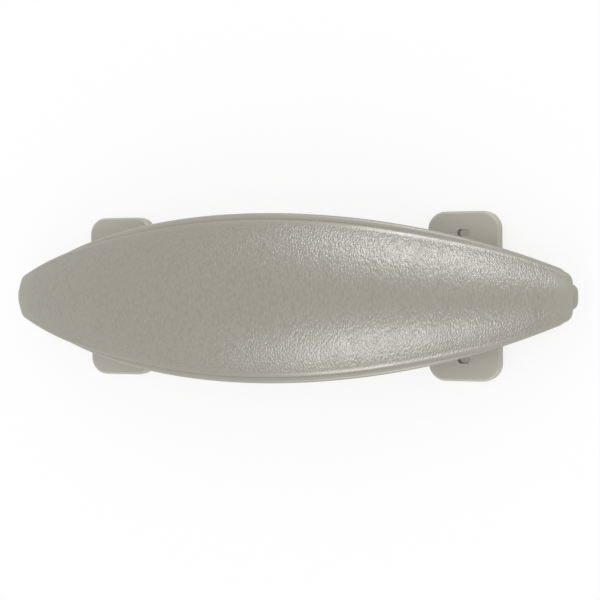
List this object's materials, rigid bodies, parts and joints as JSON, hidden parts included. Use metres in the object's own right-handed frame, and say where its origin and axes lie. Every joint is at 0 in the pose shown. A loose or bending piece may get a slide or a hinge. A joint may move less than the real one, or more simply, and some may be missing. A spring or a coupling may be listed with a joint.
{
  "type": "suction grab bar",
  "caption": "Arched leaf-shaped grab bar with a soft grained grip on slotted feet, held by lever-worked suction cups or by screws.",
  "frame": {"origin": "in the wall plane under the middle of the grip", "axes": "+X along the bar to the right-hand foot, +Y across the bar, +Z away from the wall, through the grip"},
  "size_m": [0.3092, 0.0852, 0.0668],
  "materials": {
    "soft_skin": "thermoplastic elastomer moulded over the frame, leather grain, satin",
    "frame_plastic": "smooth ABS, warm grey, fine satin",
    "foot_plastic": "smooth ABS, warm grey, fine satin",
    "steel_screw": "stainless steel, turned and rolled",
    "zinc_steel": "zinc-plated sheet steel",
    "cup_rubber": "soft nitrile rubber, smooth",
    "stud_metal": "turned aluminium",
    "steel_pin": "ground steel pin",
    "lever_plastic": "glass-filled nylon, darker grey, fine matt",
    "lever_rubber": "soft thumb pad with ridges",
    "spring_steel": "music wire, bright"
  },
  "bodies": {
    "bar": {"grip_skin": "soft_skin", "grip_frame": "frame_plastic", "under_cover": "frame_plastic", "cover_screws": "steel_screw", "steel_spine": "zinc_steel", "foot_left": "foot_plastic", "foot_screws_left": "steel_screw", "cup_left": "cup_rubber", "thrust_washer_left": "zinc_steel", "cup_spring_left": "spring_steel", "foot_right": "foot_plastic", "foot_screws_right": "steel_screw", "cup_right": "cup_rubber", "thrust_washer_right": "zinc_steel", "cup_spring_right": "spring_steel"},
    "stud_unit_left": {"stud_left": "stud_metal", "cam_pin_left": "steel_pin"},
    "lever_unit_left": {"lever_left": "lever_plastic", "lever_pad_left": "lever_rubber"},
    "stud_unit_right": {"stud_right": "stud_metal", "cam_pin_right": "steel_pin"},
    "lever_unit_right": {"lever_right": "lever_plastic", "lever_pad_right": "lever_rubber"}
  },
  "joints": [
    {"name": "lever_left_turn", "type": "hinge", "parent": "bar", "child": "lever_unit_left", "pos_m": [-0.095, 0, 0.019], "axis": [0, 0, 1], "range_deg": [0, 80]},
    {"name": "stud_left_drop", "type": "slide", "parent": "bar", "child": "stud_unit_left", "axis": [0, 0, 1], "range_m": [-0.003, 0], "deforming": ["cup_left", "cup_spring_left"]},
    {"name": "lever_right_turn", "type": "hinge", "parent": "bar", "child": "lever_unit_right", "pos_m": [0.095, 0, 0.019], "axis": [0, 0, 1], "range_deg": [0, 80]},
    {"name": "stud_right_drop", "type": "slide", "parent": "bar", "child": "stud_unit_right", "axis": [0, 0, 1], "range_m": [-0.003, 0], "deforming": ["cup_right", "cup_spring_right"]}
  ],
  "couplings": [
    {"joint": "stud_left_drop", "follows": "lever_left_turn", "m_per_rad": -0.0021486},
    {"joint": "stud_right_drop", "follows": "lever_right_turn", "m_per_rad": -0.0021486}
  ]
}
